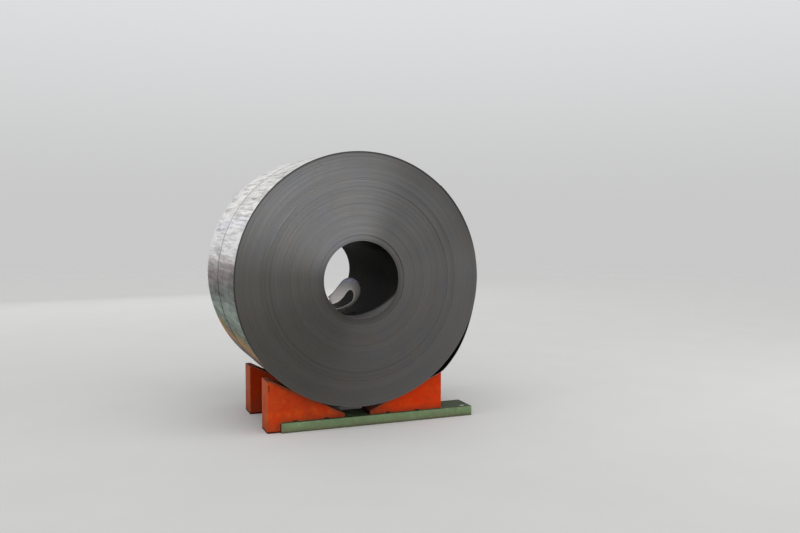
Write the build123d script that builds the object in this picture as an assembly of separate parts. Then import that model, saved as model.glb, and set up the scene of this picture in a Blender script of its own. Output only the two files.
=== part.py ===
from build123d import *
import math
import os

# A steel coil lying with its axis level on four wedge chocks, which stand on two
# channel bearers. Millimetres, +Z up, the coil's axis along Y, and the origin on
# the floor midway between the coil's ends, straight below its axis.

# The wound coil
COIL_RADIUS = 1000
EYE_RADIUS = 305
STRIP_WIDTH = 1250
# From the eye outwards, how many millimetres of wound turns lie together, and
# how far that group of turns wandered along the axis while it was being wound
GROUP_BUILDS = (50, 66, 99, 52, 93, 69, 31, 32, 138)
GROUP_SHIFTS = (4.0, 0.5, 2.0, -1.0, 1.5, 0.0, -4.0, 1.0, -1.5)
OUTERMOST_SHIFT = 0.5

# The steel strap round the coil and the seal that closes it
STRAP_WIDTH = 32
STRAP_THICKNESS = 1.0
STRAP_FROM_FRONT = 700
STRAP_GAP = 0.3
SEAL_LENGTH = 56
SEAL_WALL = 1.5
SEAL_GAP = 0.3
SEAL_ANGLE = 35
CRIMP_WIDTH = 7
CRIMP_DEPTH = 2.5
CRIMP_SPACING = 22

# The wedge chocks, each measured sideways from the coil's axis
CHOCK_THICKNESS = 190
CHOCK_OUTER_REACH = 732
CHOCK_TIP_REACH = 100
CHOCK_TIP_HEIGHT = 26
CHOCK_CREST_WIDTH = 42
CHOCK_SLOPE = 27
CHOCK_EDGE_BEVEL = 3
CHOCK_SEAT_GAP = 0.3
LUG_WIDTH = 104
LUG_CLEARANCE = 1.0
NOTCH_REACHES = (260, 512)
NOTCH_WIDTH = 40
NOTCH_HEIGHT = 9
NOTCH_DEPTH = 30
NOTCH_CORNER = 4

# The bearers, rolled channels lying with the web on top
CHANNEL_HEIGHT = 78
CHANNEL_WIDTH = 250
WEB_THICKNESS = 7
FLANGE_THICKNESS = 12
FLANGE_TAPER = 0.1
ROOT_RADIUS = 12
TOE_RADIUS = 6
BEARER_RIGHT_REACH = 1000
BEARER_SETBACK = 80
BEARER_PITCH = 660
PIN_HOLE_RADIUS = 25
PIN_HOLE_FROM_EDGE = 60
PIN_HOLE_FROM_END = 60
PIN_HOLE_PITCH = 250

# Where the pieces meet
slope = math.radians(CHOCK_SLOPE)
tip_top = CHANNEL_HEIGHT + CHOCK_TIP_HEIGHT
# The slopes are tangents of the coil, so they set the height of its axis
AXIS_HEIGHT = (
    tip_top
    - CHOCK_TIP_REACH * math.tan(slope)
    + (COIL_RADIUS + CHOCK_SEAT_GAP) / math.cos(slope)
)
FRONT_END = -STRIP_WIDTH / 2
STRAP_PLACE = FRONT_END + STRAP_FROM_FRONT
BEARER_LEFT_REACH = CHOCK_OUTER_REACH - LUG_WIDTH - LUG_CLEARANCE
BEARER_PLACES = {
    "front": FRONT_END + BEARER_SETBACK + CHANNEL_WIDTH / 2,
    "rear": FRONT_END + BEARER_SETBACK + CHANNEL_WIDTH / 2 + BEARER_PITCH,
}
AXIS = Axis((0, 0, AXIS_HEIGHT), (0, 1, 0))


def ring(profile_points, angle=360):
    """Turn an outline given as (radius, place along the axis) about the coil's axis."""
    corners = [(radius, place, AXIS_HEIGHT) for radius, place in profile_points]
    outline = Face(Wire.make_polygon(corners, close=True))
    return revolve(outline, AXIS, angle)


def turn_groups():
    """List (inner radius, outer radius, shift) for each group of turns, eye first."""
    groups = []
    inner = EYE_RADIUS
    for build, shift in zip(GROUP_BUILDS, GROUP_SHIFTS):
        outer = inner + build
        if outer >= COIL_RADIUS:
            break
        groups.append((inner, outer, shift))
        inner = outer
    groups.append((inner, COIL_RADIUS, OUTERMOST_SHIFT))
    return groups


def make_coil():
    """Make the wound strip: an eye, and ends stepped where groups of turns stand out."""
    front = []
    rear = []
    for inner, outer, shift in turn_groups():
        front += [(inner, -STRIP_WIDTH / 2 + shift), (outer, -STRIP_WIDTH / 2 + shift)]
        rear += [(inner, STRIP_WIDTH / 2 + shift), (outer, STRIP_WIDTH / 2 + shift)]
    return ring(front + rear[::-1])


def make_strap():
    """Make the flat steel strap drawn tight round the middle of the coil."""
    inner = COIL_RADIUS + STRAP_GAP
    outer = inner + STRAP_THICKNESS
    low = STRAP_PLACE - STRAP_WIDTH / 2
    high = STRAP_PLACE + STRAP_WIDTH / 2
    return ring([(inner, low), (outer, low), (outer, high), (inner, high)])


def make_strap_seal():
    """Make the folded sleeve over the strap's joint, with its crimped edges."""
    strap_top = COIL_RADIUS + STRAP_GAP + STRAP_THICKNESS
    foot = COIL_RADIUS + STRAP_GAP
    roof = strap_top + SEAL_GAP
    inside = STRAP_WIDTH / 2 + SEAL_GAP
    outside = inside + SEAL_WALL
    profile = [
        (foot, STRAP_PLACE - outside),
        (roof + SEAL_WALL, STRAP_PLACE - outside),
        (roof + SEAL_WALL, STRAP_PLACE + outside),
        (foot, STRAP_PLACE + outside),
        (foot, STRAP_PLACE + inside),
        (roof, STRAP_PLACE + inside),
        (roof, STRAP_PLACE - inside),
        (foot, STRAP_PLACE - inside),
    ]
    span = math.degrees(SEAL_LENGTH / COIL_RADIUS)
    seal = ring(profile, span)
    # The outline starts on the +X side, and turning about +Y carries it down
    seal = seal.rotate(AXIS, -SEAL_ANGLE - span / 2)
    for along in (-CRIMP_SPACING / 2, CRIMP_SPACING / 2):
        for side in (-outside, outside):
            crimp = Box(4 * SEAL_WALL + SEAL_LENGTH, 2 * CRIMP_DEPTH, CRIMP_WIDTH)
            crimp = crimp.translate((COIL_RADIUS, STRAP_PLACE + side, AXIS_HEIGHT + along))
            seal -= crimp.rotate(AXIS, -SEAL_ANGLE)
    return seal


def slope_height(reach):
    """Give the height of a chock's slope at a reach from the coil's axis."""
    return tip_top + (reach - CHOCK_TIP_REACH) * math.tan(slope)


def make_chock(place, side, with_lug):
    """Make one wedge chock, whose lug, if it has one, hooks over the bearer's end."""
    crest_start = CHOCK_OUTER_REACH - CHOCK_CREST_WIDTH
    crest = slope_height(crest_start)
    outline = [
        (CHOCK_TIP_REACH, CHANNEL_HEIGHT),
        (CHOCK_TIP_REACH, tip_top),
        (crest_start, crest),
        (CHOCK_OUTER_REACH, crest),
    ]
    if with_lug:
        lug_face = CHOCK_OUTER_REACH - LUG_WIDTH
        outline += [(CHOCK_OUTER_REACH, 0), (lug_face, 0), (lug_face, CHANNEL_HEIGHT)]
    else:
        outline += [(CHOCK_OUTER_REACH, CHANNEL_HEIGHT)]
    corners = [(side * reach, place + CHOCK_THICKNESS / 2, height) for reach, height in outline]
    wedge = extrude(Face(Wire.make_polygon(corners, close=True)), CHOCK_THICKNESS, dir=(0, -1, 0))
    rim = [edge for edge in wedge.edges() if edge.center().Z > tip_top]
    wedge = chamfer(rim, CHOCK_EDGE_BEVEL)
    for reach in NOTCH_REACHES:
        for face in (-1, 1):
            notch = Box(NOTCH_WIDTH, 2 * NOTCH_DEPTH, 2 * NOTCH_HEIGHT)
            upper = [edge for edge in notch.edges().filter_by(Axis.Y) if edge.center().Z > 0]
            notch = chamfer(upper, NOTCH_CORNER)
            spot = (side * reach, place + face * CHOCK_THICKNESS / 2, CHANNEL_HEIGHT)
            wedge -= notch.translate(spot)
    return wedge


def make_bearer(place):
    """Make one channel bearer with its row of pin holes near the front edge."""
    half = CHANNEL_WIDTH / 2
    web_under = CHANNEL_HEIGHT - WEB_THICKNESS
    # The flange has its nominal thickness halfway down, and tapers towards the toe
    change = FLANGE_TAPER * web_under / 2
    toe = half - FLANGE_THICKNESS + change
    root = half - FLANGE_THICKNESS - change
    section = [
        (-half, 0),
        (-half, CHANNEL_HEIGHT),
        (half, CHANNEL_HEIGHT),
        (half, 0),
        (toe, 0),
        (root, web_under),
        (-root, web_under),
        (-toe, 0),
    ]
    corners = [(-BEARER_LEFT_REACH, place + across, height) for across, height in section]
    length = BEARER_LEFT_REACH + BEARER_RIGHT_REACH
    bearer = extrude(Face(Wire.make_polygon(corners, close=True)), length, dir=(1, 0, 0))
    long_edges = bearer.edges().filter_by(Axis.X)
    roots = [edge for edge in long_edges if abs(edge.center().Z - web_under) < WEB_THICKNESS / 2]
    bearer = fillet(roots, ROOT_RADIUS)
    inner_toes = [
        edge
        for edge in bearer.edges().filter_by(Axis.X)
        if edge.center().Z < 1 and abs(edge.center().Y - place) < half - FLANGE_THICKNESS / 4
    ]
    bearer = fillet(inner_toes, TOE_RADIUS)
    hole = Cylinder(PIN_HOLE_RADIUS, 4 * WEB_THICKNESS)
    hole_line = place - half + PIN_HOLE_FROM_EDGE
    x = BEARER_RIGHT_REACH - PIN_HOLE_FROM_END
    while x - PIN_HOLE_RADIUS > -BEARER_LEFT_REACH + WEB_THICKNESS:
        bearer -= hole.translate((x, hole_line, CHANNEL_HEIGHT))
        x -= PIN_HOLE_PITCH
    return bearer


def make_parts():
    """Make every piece, by node name."""
    parts = {
        "coil": make_coil(),
        "strap": make_strap(),
        "strap_seal": make_strap_seal(),
    }
    for row, place in BEARER_PLACES.items():
        parts[f"bearer_{row}"] = make_bearer(place)
        parts[f"chock_{row}_left"] = make_chock(place, -1, with_lug=True)
        parts[f"chock_{row}_right"] = make_chock(place, 1, with_lug=False)
    return parts


os.makedirs("parts", exist_ok=True)
for node, solid in make_parts().items():
    export_step(solid, f"parts/{node}.step")
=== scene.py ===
import math

import bmesh
import bpy
import numpy as np
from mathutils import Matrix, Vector


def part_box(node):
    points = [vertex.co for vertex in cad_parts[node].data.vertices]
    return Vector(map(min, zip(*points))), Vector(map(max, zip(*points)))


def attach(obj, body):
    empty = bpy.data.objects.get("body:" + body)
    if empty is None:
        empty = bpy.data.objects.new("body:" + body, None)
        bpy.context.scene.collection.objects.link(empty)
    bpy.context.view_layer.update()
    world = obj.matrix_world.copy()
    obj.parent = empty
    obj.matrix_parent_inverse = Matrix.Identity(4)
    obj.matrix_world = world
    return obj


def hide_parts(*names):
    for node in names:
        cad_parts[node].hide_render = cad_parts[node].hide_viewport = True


bl_info = {
    "name": "Steel coil on chocks",
    "version": (1, 0, 0),
    "blender": (4, 5, 0),
    "location": "3D View > Sidebar > Steel Coil",
    "description": "Dresses a wound steel coil, its strap, its chocks and its bearers",
    "category": "Object",
}

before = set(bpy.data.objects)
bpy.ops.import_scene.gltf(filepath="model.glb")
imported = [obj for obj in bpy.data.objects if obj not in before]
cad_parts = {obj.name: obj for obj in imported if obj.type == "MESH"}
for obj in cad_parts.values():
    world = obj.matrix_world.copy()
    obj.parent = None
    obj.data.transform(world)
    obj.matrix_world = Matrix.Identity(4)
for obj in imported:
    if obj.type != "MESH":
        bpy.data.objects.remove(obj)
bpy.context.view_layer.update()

COIL_LOW, COIL_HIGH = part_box("coil")
COIL_RADIUS = (COIL_HIGH.x - COIL_LOW.x) / 2
AXIS_HEIGHT = (COIL_HIGH.z + COIL_LOW.z) / 2
HALF_WIDTH = 0.625
FRONT = -HALF_WIDTH
EYE_RADIUS = 0.305
STRIP_THICKNESS = 0.0019
STRAP_LOW, STRAP_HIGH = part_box("strap")
STRAP_PLACE = (STRAP_LOW.y + STRAP_HIGH.y) / 2
STRAP_HALF = (STRAP_HIGH.y - STRAP_LOW.y) / 2
STRAP_INNER = 1.0003
STRAP_OUTER = (STRAP_HIGH.x - STRAP_LOW.x) / 2
CHOCKS = ("chock_front_left", "chock_front_right", "chock_rear_left", "chock_rear_right")
BEARERS = ("bearer_front", "bearer_rear")
# How round the edges of the CAD nodes look
CAD_EDGE = 0.004
# Mesh edges that turn by more than this stay sharp
SHARP = math.radians(30)
FULL_TURN = 2 * math.pi

# The chocks' tips: reach from the axis and height. Their slope: rise per metre outwards, and height at the axis
TIP_REACH, TIP_HEIGHT = 0.10, 0.104
SLOPE = math.tan(math.radians(27))
SLOPE_START = TIP_HEIGHT - TIP_REACH * SLOPE
# A chip on the front left chock: its middle in x and z, and half its width and height
CHIP_PLACE = (-0.718, 0.350)
CHIP_HALF = (0.006, 0.024)

# Groups of turns, from the eye outwards: outer radius, and how far the group stands towards the rear
TURN_GROUPS = (
    (0.318, 0.0052), (0.341, 0.0036), (0.355, 0.0044),
    (0.375, 0.0002), (0.398, 0.0009), (0.421, 0.0004),
    (0.448, 0.0024), (0.464, 0.0013), (0.481, 0.0020), (0.502, 0.0026), (0.520, 0.0017),
    (0.548, -0.0006), (0.572, -0.0013),
    (0.594, 0.0019), (0.614, 0.0010), (0.638, 0.0021), (0.665, 0.0013),
    (0.700, 0.0006), (0.720, -0.0004), (0.734, 0.0000),
    (0.747, -0.0044), (0.765, -0.0037),
    (0.782, 0.0016), (0.797, 0.0007),
    (0.812, -0.0021), (0.840, -0.0011), (0.866, -0.0018), (0.887, -0.0009), (0.910, -0.0022), (0.935, -0.0014),
    (0.958, 0.0009), (0.981, 0.0002), (0.994, 0.0007), (1.000, 0.0000),
)

# The loose inner end inside the eye: points along its far edge and its near edge, from its cut tip to the wall
TAIL_FAR = ((-0.257, -0.558, 1.047), (-0.213, -0.548, 1.080), (-0.162, -0.512, 1.123), (-0.106, -0.470, 1.166),
            (-0.044, -0.446, 1.182), (0.020, -0.431, 1.156), (0.052, -0.433, 1.092), (0.034, -0.442, 1.022),
            (-0.022, -0.462, 0.966), (-0.104, -0.485, 0.936), (-0.180, -0.517, 0.932), (-0.215, -0.535, 0.960))
TAIL_NEAR = ((-0.239, -0.614, 0.995), (-0.189, -0.600, 1.008), (-0.140, -0.575, 1.038), (-0.103, -0.550, 1.074),
             (-0.071, -0.531, 1.092), (-0.046, -0.522, 1.084), (-0.034, -0.520, 1.059), (-0.041, -0.526, 1.020),
             (-0.072, -0.541, 0.990), (-0.136, -0.565, 0.964), (-0.200, -0.590, 0.955), (-0.225, -0.600, 0.972))

# Steps along and across the loose inner end
TAIL_STEPS = (90, 9)
# How far in from the rim the outermost turns' edges are knocked about
RIM_WIDTH = 0.0062
# Slivers torn up from the rear edge: angle in degrees, turn of their length in degrees, rise and half width
SLIVERS = ((141.3, -5.4, 0.056, 0.010), (138.6, -3.0, 0.028, 0.007))
SLIVER_THICKNESS = 0.0015
# The slack turn: degrees from its highest place to its upper and its lower end, and steps round and along the coil
SLACK_ENDS = (38, 11)
SLACK_STEPS = (76, 26)
# How far before the strap it ends
SLACK_CLEAR_OF_STRAP = 0.08
# How deep the middle of its sheet lies in the wrap at its ends
SLACK_SINK = 0.0012

# Painted highlights on turns whose sheared edges stand proud, and some painted shade lines: radius and how much lighter
# they are
PROUD_TURNS = ((0.771, 0.42), (0.758, -0.12), (0.905, -0.05), (0.655, 0.16), (0.600, -0.14), (0.556, -0.14),
               (0.530, 0.16), (0.492, -0.14), (0.455, 0.16), (0.432, -0.12), (0.883, 0.16), (0.943, 0.17))
# Turns beside a step, painted lighter to soften the step's shadow: radius and how much lighter they are
PAINTED_FILL_TURNS = ((0.732, 0.46), (0.794, 0.28), (0.886, 0.22), (0.517, 0.26))

# Painted reflection: the tint of the bare wrap's gleam when looked at along the coil, by height over the axis in coil
# radii
PAINTED_SHEEN = (
    (-0.72, (0.0, 0.0, 0.0)), (-0.63, (0.16, 0.07, 0.0)), (-0.56, (0.60, 0.24, 0.0)),
    (-0.50, (0.58, 0.24, 0.0)), (-0.46, (0.28, 0.24, 0.06)), (-0.41, (0.20, 0.26, 0.19)),
    (-0.26, (0.35, 0.44, 0.37)), (-0.15, (0.23, 0.27, 0.24)), (-0.10, (0.17, 0.19, 0.17)),
    (-0.03, (0.28, 0.24, 0.24)), (0.05, (0.34, 0.28, 0.27)), (0.12, (0.56, 0.51, 0.52)),
    (0.18, (0.88, 0.86, 0.87)), (0.34, (0.94, 0.93, 0.94)), (0.42, (0.76, 0.75, 0.83)),
    (0.50, (0.86, 0.83, 0.80)), (0.68, (0.91, 0.88, 0.84)), (0.95, (0.93, 0.905, 0.86)),
)
# A cool and a warm cast on the grey ends, painted shade that darkens the gleam of the eye's wall, and rubbed strapping
# steel that also gives a painted highlight
COOL_CAST = (0.97, 0.98, 1.06)
WARM_CAST = (1.04, 0.99, 0.95)
EYE_SHADE_TINT = (0.17, 0.165, 0.155)
RUBBED_STEEL_AND_HIGHLIGHT = (0.34, 0.33, 0.32)
# How painted shade on the rear chocks dims red, green and blue
REAR_SHADE_TONES = (0.95, 0.72, 0.5)


# Node helpers

class Value:
    """What a node gives out. Sums with it make Math nodes, and plain numbers may stand beside it."""

    def __init__(self, socket):
        self.socket = socket
        self.tree = socket.id_data

    def __add__(self, other):
        return sums("ADD", self, other)

    def __sub__(self, other):
        return sums("SUBTRACT", self, other)

    def __rsub__(self, other):
        return sums("SUBTRACT", other, self)

    def __mul__(self, other):
        return sums("MULTIPLY", self, other)

    def __truediv__(self, other):
        return sums("DIVIDE", self, other)

    def __abs__(self):
        return sums("ABSOLUTE", self)

    def held(self):
        """The same sum, kept between 0 and 1."""
        self.socket.node.use_clamp = True
        return self


def fill(made, inputs):
    """Link or set a node's inputs, by name or number. A colour gets its fourth part here."""
    for key, value in inputs.items():
        socket = made.inputs[key]
        if isinstance(value, Value):
            socket.id_data.links.new(value.socket, socket)
        else:
            socket.default_value = (*value[:3], 1.0) if socket.type == "RGBA" else value


def put(kind, inputs, tree=None, **settings):
    """A new node with its settings and inputs, in the tree of its inputs unless another is given."""
    tree = tree or next(value.tree for value in inputs.values() if isinstance(value, Value))
    made = tree.nodes.new("ShaderNode" + kind)
    for name, value in settings.items():
        setattr(made, name, value)
    fill(made, inputs)
    return made


def node(kind, inputs, output=0, tree=None, **settings):
    """What a new node gives out."""
    return Value(put(kind, inputs, tree, **settings).outputs[output])


def sums(operation, *values):
    return node("Math", dict(enumerate(values)), operation=operation)


def vector(x, y, z):
    return node("CombineXYZ", {0: x, 1: y, 2: z})


def parts(value):
    return [Value(output) for output in put("SeparateXYZ", {0: value}).outputs]


def vectors(operation, a, b=(0.0, 0.0, 0.0), output=0):
    return node("VectorMath", {0: a, 1: b}, output, operation=operation)


def scaled(value, factor):
    return node("VectorMath", {0: value, "Scale": factor}, operation="SCALE")


def blend(share, a, b, how="MIX"):
    return node("Mix", {"Factor": share, 6: a, 7: b}, 2, data_type="RGBA", blend_type=how, clamp_factor=True)


def layered(base, *layers):
    """A colour with others laid over it in turn, each with the share that it covers."""
    for share, colour in layers:
        base = blend(share, base, colour)
    return base


def tinted(colour, tone):
    """A colour made lighter or darker by a value round 1, or by one value for each of its parts."""
    tones = tone if isinstance(tone, tuple) else (tone, tone, tone)
    return blend(1.0, colour, vector(*tones) if isinstance(tones[0], Value) else tones, "MULTIPLY")


def span(value, low, high, to_low=0.0, to_high=1.0, smooth=False):
    """A value from low to high spread over to_low to to_high, and held at both ends."""
    return node("MapRange", {"Value": value, 1: low, 2: high, 3: to_low, 4: to_high},
                interpolation_type="SMOOTHSTEP" if smooth else "LINEAR")


def varied(value, *swings):
    """A value swung to both sides by others that lie round a half, each as far as given."""
    for swing, reach in swings:
        value = (swing - 0.5) * reach + value
    return value


def ramp(value, low, high, stops):
    """A colour that runs through stops of (value, grey or colour) between low and high."""
    made = put("ValToRGB", {0: span(value, low, high)})
    points = made.color_ramp.elements
    while len(points) < len(stops):
        points.new(0.5)
    for point, (at, tone) in zip(points, stops):
        point.position = (at - low) / (high - low)
        point.color = (*tone, 1.0) if isinstance(tone, tuple) else (tone, tone, tone, 1.0)
    return Value(made.outputs[0])


def place(tree):
    """The point in the row frame, and its three parts."""
    point = node("TexCoord", {}, "Object", tree)
    return point, *parts(point)


def facing(tree):
    """The direction in which the surface faces."""
    return node("NewGeometry", {}, "Normal", tree)


def stretched(point, x, y, z):
    return vectors("MULTIPLY", point, (x, y, z))


def noise(point, scale, detail=2.0, rough=0.5, distort=0.0):
    return node("TexNoise", {"Vector": point, "Scale": scale, "Detail": detail, "Roughness": rough,
                             "Distortion": distort})


def line_noise(value, scale, detail, rough=0.5):
    return node("TexNoise", {"W": value, "Scale": scale, "Detail": detail, "Roughness": rough}, noise_dimensions="1D")


def bump(height, distance, strength, normal=None):
    below = {} if normal is None else {"Normal": normal}
    return node("Bump", {"Height": height, "Distance": distance, "Strength": strength, **below})


def rounded(tree, radius):
    """The surface's direction with its edges rounded."""
    return node("Bevel", {"Radius": radius}, 0, tree, samples=6)


def group(name, inputs, outputs):
    """A new shader node group. Returns its tree, what it is given, and the node for what it gives out."""
    made = bpy.data.node_groups.new(name, "ShaderNodeTree")
    for label, value in inputs.items():
        made.interface.new_socket(label, in_out="INPUT", socket_type="NodeSocketFloat").default_value = value
    for label in outputs:
        made.interface.new_socket(label, in_out="OUTPUT", socket_type="NodeSocketFloat")
    given = made.nodes.new("NodeGroupInput").outputs
    return made, {label: Value(given[label]) for label in inputs}, made.nodes.new("NodeGroupOutput")


def use(tree, name, **values):
    """What a shared effect gives out, by name. In the values' names a _ stands for a space."""
    made = tree.nodes.new("ShaderNodeGroup")
    made.node_tree = bpy.data.node_groups[name]
    fill(made, {key.replace("_", " "): value for key, value in values.items()})
    return {output.name: Value(output) for output in made.outputs}


def material(name, colour):
    """A new material, with its tree and its shader."""
    made = bpy.data.materials.new(name)
    made.use_nodes = True
    made.diffuse_color = (*colour[:3], 1.0)
    return made, made.node_tree, made.node_tree.nodes["Principled BSDF"]


# Effects that several materials share

def make_edge_wear():
    """Where sharp edges are rubbed: 1 on an edge, broken up, and 0 on the faces."""
    tree, given, out = group("edge_wear", {"Width": 0.006, "Breakup": 30, "Amount": 1}, ("Mask", "Edge"))
    edge = span(vectors("DOT_PRODUCT", rounded(tree, given["Width"]), facing(tree), "Value"), 0.998, 0.9)
    point = place(tree)[0]
    patches = noise(point, given["Breakup"], 6, 0.65)
    fine = noise(point, given["Breakup"] * 7, 3, 0.6)
    broken = span(fine * 0.4 + patches * 0.8, 0.5, 0.66)
    fill(out, {"Mask": (edge * broken * given["Amount"]).held(), "Edge": edge})


def make_grime():
    """Dirt in blotches, thicker low down and in corners."""
    tree, given, out = group("grime", {"Scale": 6, "Floor Height": 0.08, "Corners": 0.6, "Amount": 0.5},
                             ("Mask", "Spots"))
    point, _, _, up = place(tree)
    blotch = noise(point, given["Scale"], 6, 0.62, 0.6)
    speck = noise(point, given["Scale"] * 9, 4, 0.6)
    low = (1 - up / given["Floor Height"]).held()
    corner = (1 - node("AmbientOcclusion", {"Distance": 0.06}, "AO", tree, samples=4)) * given["Corners"]
    total = low * 0.35 + blotch + corner
    fill(out, {"Mask": (span(total, 0.44, 0.8, smooth=True) * given["Amount"]).held(),
               "Spots": (span(speck, 0.62, 0.7) * given["Amount"]).held()})


def make_scratches():
    """Thin scratches in two slanting directions, as a mask."""
    tree, given, out = group("scratches", {"Density": 0.5, "Size": 1}, ("Mask",))
    point = place(tree)[0]
    found = []
    for turn, pull in (((0.5, 0.35, 0.9), (220, 9, 9)), ((-0.4, 1.2, 0.3), (7, 180, 9))):
        turned = node("Mapping", {"Vector": point, "Rotation": turn, "Scale": pull})
        found.append(span(noise(scaled(turned, given["Size"]), 1), 0.7, 0.76))
    where = span(noise(point, 5, 3), 0.45, 0.62)
    fill(out, {"Mask": sums("MAXIMUM", *found) * where * given["Density"]})


def make_mill_grain():
    """Fine lines that rolling leaves along the strip, across the coil's axis, and oil patches."""
    tree, given, out = group("mill_grain", {"Line Scale": 160, "Patch Scale": 3}, ("Lines", "Patches"))
    point, _, along, _ = place(tree)
    fine = line_noise(along, given["Line Scale"], 4, 0.7)
    streak = noise(stretched(point, 1, 6, 1), given["Patch Scale"] * 4, 5, 0.6)
    fill(out, {"Lines": streak * 0.5 + fine * 0.5, "Patches": noise(point, given["Patch Scale"], 4, 0.6, 0.4)})


def shared_effects():
    for name, build in (("edge_wear", make_edge_wear), ("grime", make_grime), ("scratches", make_scratches),
                        ("mill_grain", make_mill_grain)):
        if name not in bpy.data.node_groups:
            build()


# Materials

def coil_end_material(look):
    """Sheared strip edges: matt grey, leaning outwards as the shears left them, with a line for each turn and rings,
    and painted light and shade by direction.
    """
    made, tree, shader = material("strip_edges", look.end_colour_lit)
    point, x, _, z = place(tree)
    up = z - AXIS_HEIGHT
    radius = sums("SQRT", x * x + up * up)
    side, rise = x / radius, up / radius
    wound = sums("ARCTAN2", up, x) * (look.turn_pitch / FULL_TURN) + radius
    around = vector(radius * 46, side * 0.8, rise * 0.8)
    turns = line_noise(wound, 1 / look.turn_pitch, 1)
    rings = noise(around, 1, 5, 0.62)
    broad = noise(around, 0.22)
    cloud = noise(point, 2.2, 4, 0.6)
    smear = noise(point, 10, 6, 0.7, 0.8)

    # Painted light: clean is the side towards the light, painted lighter; the other side and the bottom are painted
    # shade, a little warmer low down
    clean = span(side * math.cos(look.lit_side) + rise * math.sin(look.lit_side), 0.45, 1, smooth=True)
    low = blend(span(side, -0.8, 0.5, smooth=True), look.end_colour_shaded_low, look.end_colour_shaded_side)
    base = blend(clean, low, look.end_colour_lit)

    contrast = look.ring_contrast
    value = varied(1, (rings, span(clean, 0, 0.8, contrast * 0.4, contrast)), (broad, contrast * 0.5),
                   (turns, contrast * 0.3), (cloud, 0.16))
    # Painted highlights and painted shade lines on single turns, only on the lit side
    for turn, gain in PROUD_TURNS:
        near = span(abs(wound - turn), 0.0012, 0.0048, 1, 0)
        value = span(cloud, 0.4, 0.6, 0.35, 1) * near * span(clean, 0.1, 0.8) * gain + value
    upper = side * 0.5 + rise * 0.866
    # Painted light that softens the shadows beside some steps, strongest to the upper right
    for turn, gain in PAINTED_FILL_TURNS:
        value = span(upper, -0.6, 0.5) * span(abs(radius - turn), 0.002, 0.006, gain, 0) + value

    # Darker on the outermost turn except low on the right, round the eye, and as painted shade to two sides, the upper
    # right and lower left, most on the outer turns to the upper right
    reach = span(upper, 0, 0.6) * 0.005 + radius
    rim_share = span(side * -0.423 + rise * 0.906, -0.25, 0.1, 0.1, -0.62)
    rim = span(reach, COIL_RADIUS - 0.016, COIL_RADIUS - 0.007) * rim_share + 1.0
    eye = span(radius, EYE_RADIUS + 0.018, EYE_RADIUS + 0.052, smooth=True)
    eye = span(eye + span(rise, -1, 0.6, 0, 0.6), 0, 1, 0.68, 1)
    end_shade = span(side * rise, 0.1, 0.46, 1, look.side_shade, smooth=True)
    high = span(upper, 0.55, 0.85) * span(radius, 0.7, 0.95)
    end_shade = end_shade * span(high, 0, 1, 1, look.outer_shade)
    colour = tinted(base, value * rim * eye * end_shade)

    colour = blend(span(smear, 0.54, 0.7) * 0.16, colour, look.end_stain)
    cast = noise(point, 6, 3, 0.6, 0.5)
    colour = blend(span(cast, 0.5, 0.68, 0, 0.8), colour, tinted(colour, COOL_CAST))
    colour = blend(span(cast, 0.48, 0.32, 0, 0.8), colour, tinted(colour, WARM_CAST))
    leaning = vectors("ADD", facing(tree), scaled(vector(side, 0, rise), look.edge_lean))
    fill(shader, {
        "Base Color": colour, "Metallic": 0.3, "Specular IOR Level": 0.2,
        "Roughness": span(rings, 0.3, 0.7, 0.58, 0.48),
        "Normal": bump(turns * 0.4 + rings * 0.6, 0.001, 0.4, vectors("NORMALIZE", leaning))})
    return made


def wrap_material(look):
    """Bare rolled strip with crosswise creases and fine mill lines, which shows them most along the coil, painted
    darker low down as shade, with a painted reflection along the coil.
    """
    made, tree, shader = material("bright_strip", look.wrap_colour)
    point, _, y, z = place(tree)
    grain = use(tree, "mill_grain", Line_Scale=170, Patch_Scale=2.6)
    up = (z - AXIS_HEIGHT) / COIL_RADIUS
    creases = noise(stretched(point, 15, 1.3, 15), 1)
    fine = noise(stretched(point, 34, 2.6, 34), 1, 4, 0.65)
    speck = noise(stretched(point, 90, 22, 90), 1)
    dents = noise(point, 20, 3, 0.6)

    # Painted shade: clean here means higher up; the strip is darker towards the bottom, broken up a little
    clean = span(varied(up, (grain["Patches"], 0.3)), -0.7, 0.4, smooth=True)
    base = blend(clean, look.wrap_colour_shaded_low, look.wrap_colour)
    tone = varied(1, (grain["Lines"], 0.25), (fine, 0.3), (line_noise(y, 900, 3, 0.6), 0.16))
    tone = use(tree, "scratches", Density=0.9, Size=1)["Mask"] * -0.14 + tone
    # Painted shade along the front edge
    tone = tone * span(y, FRONT + 0.002, FRONT + 0.012, 0.5, 1)
    film = span(noise(stretched(point, 1, 2.4, 1), 5, 5, 0.6, 0.5), 0.5, 0.7)
    colour = blend(film * 0.25, tinted(base, tone), look.wrap_film)

    # Painted reflection of what it mirrors along the coil: bands by height, broken into streaks, with a painted
    # highlight along the rear edge and painted shade along the front edge
    reflection_height = y * span(up, -0.42, -0.22, -0.10, 0.07) + varied(up, (creases, 0.22))
    streak = varied(1, (fine, look.streaks))
    streak = span(creases, 0.56, 0.68) * -0.30 + streak
    streak = span(speck, 0.6, 0.7) * span(y, -0.2, HALF_WIDTH, 0.25, 0.9) + streak
    streak = span(y, HALF_WIDTH - 0.04, HALF_WIDTH - 0.012, smooth=True) * look.edge_gleam + streak
    streak = streak * span(y, FRONT, FRONT + 0.012, 0.6, 1)

    relief = fine * 0.22 + creases * 0.6 + dents * 0.22 + grain["Lines"] * 0.03
    fill(shader, {
        "Base Color": colour, "Specular IOR Level": 0.2,
        "Metallic": span(film, 0, 1, look.bright_metal, look.dull_metal),
        "Roughness": span(grain["Patches"], 0.3, 0.7, 0.24, 0.38),
        "Specular Tint": tinted(ramp(reflection_height, -1, 1, PAINTED_SHEEN), streak),
        "Normal": bump(relief, 0.012, 0.7)})
    return made


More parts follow.
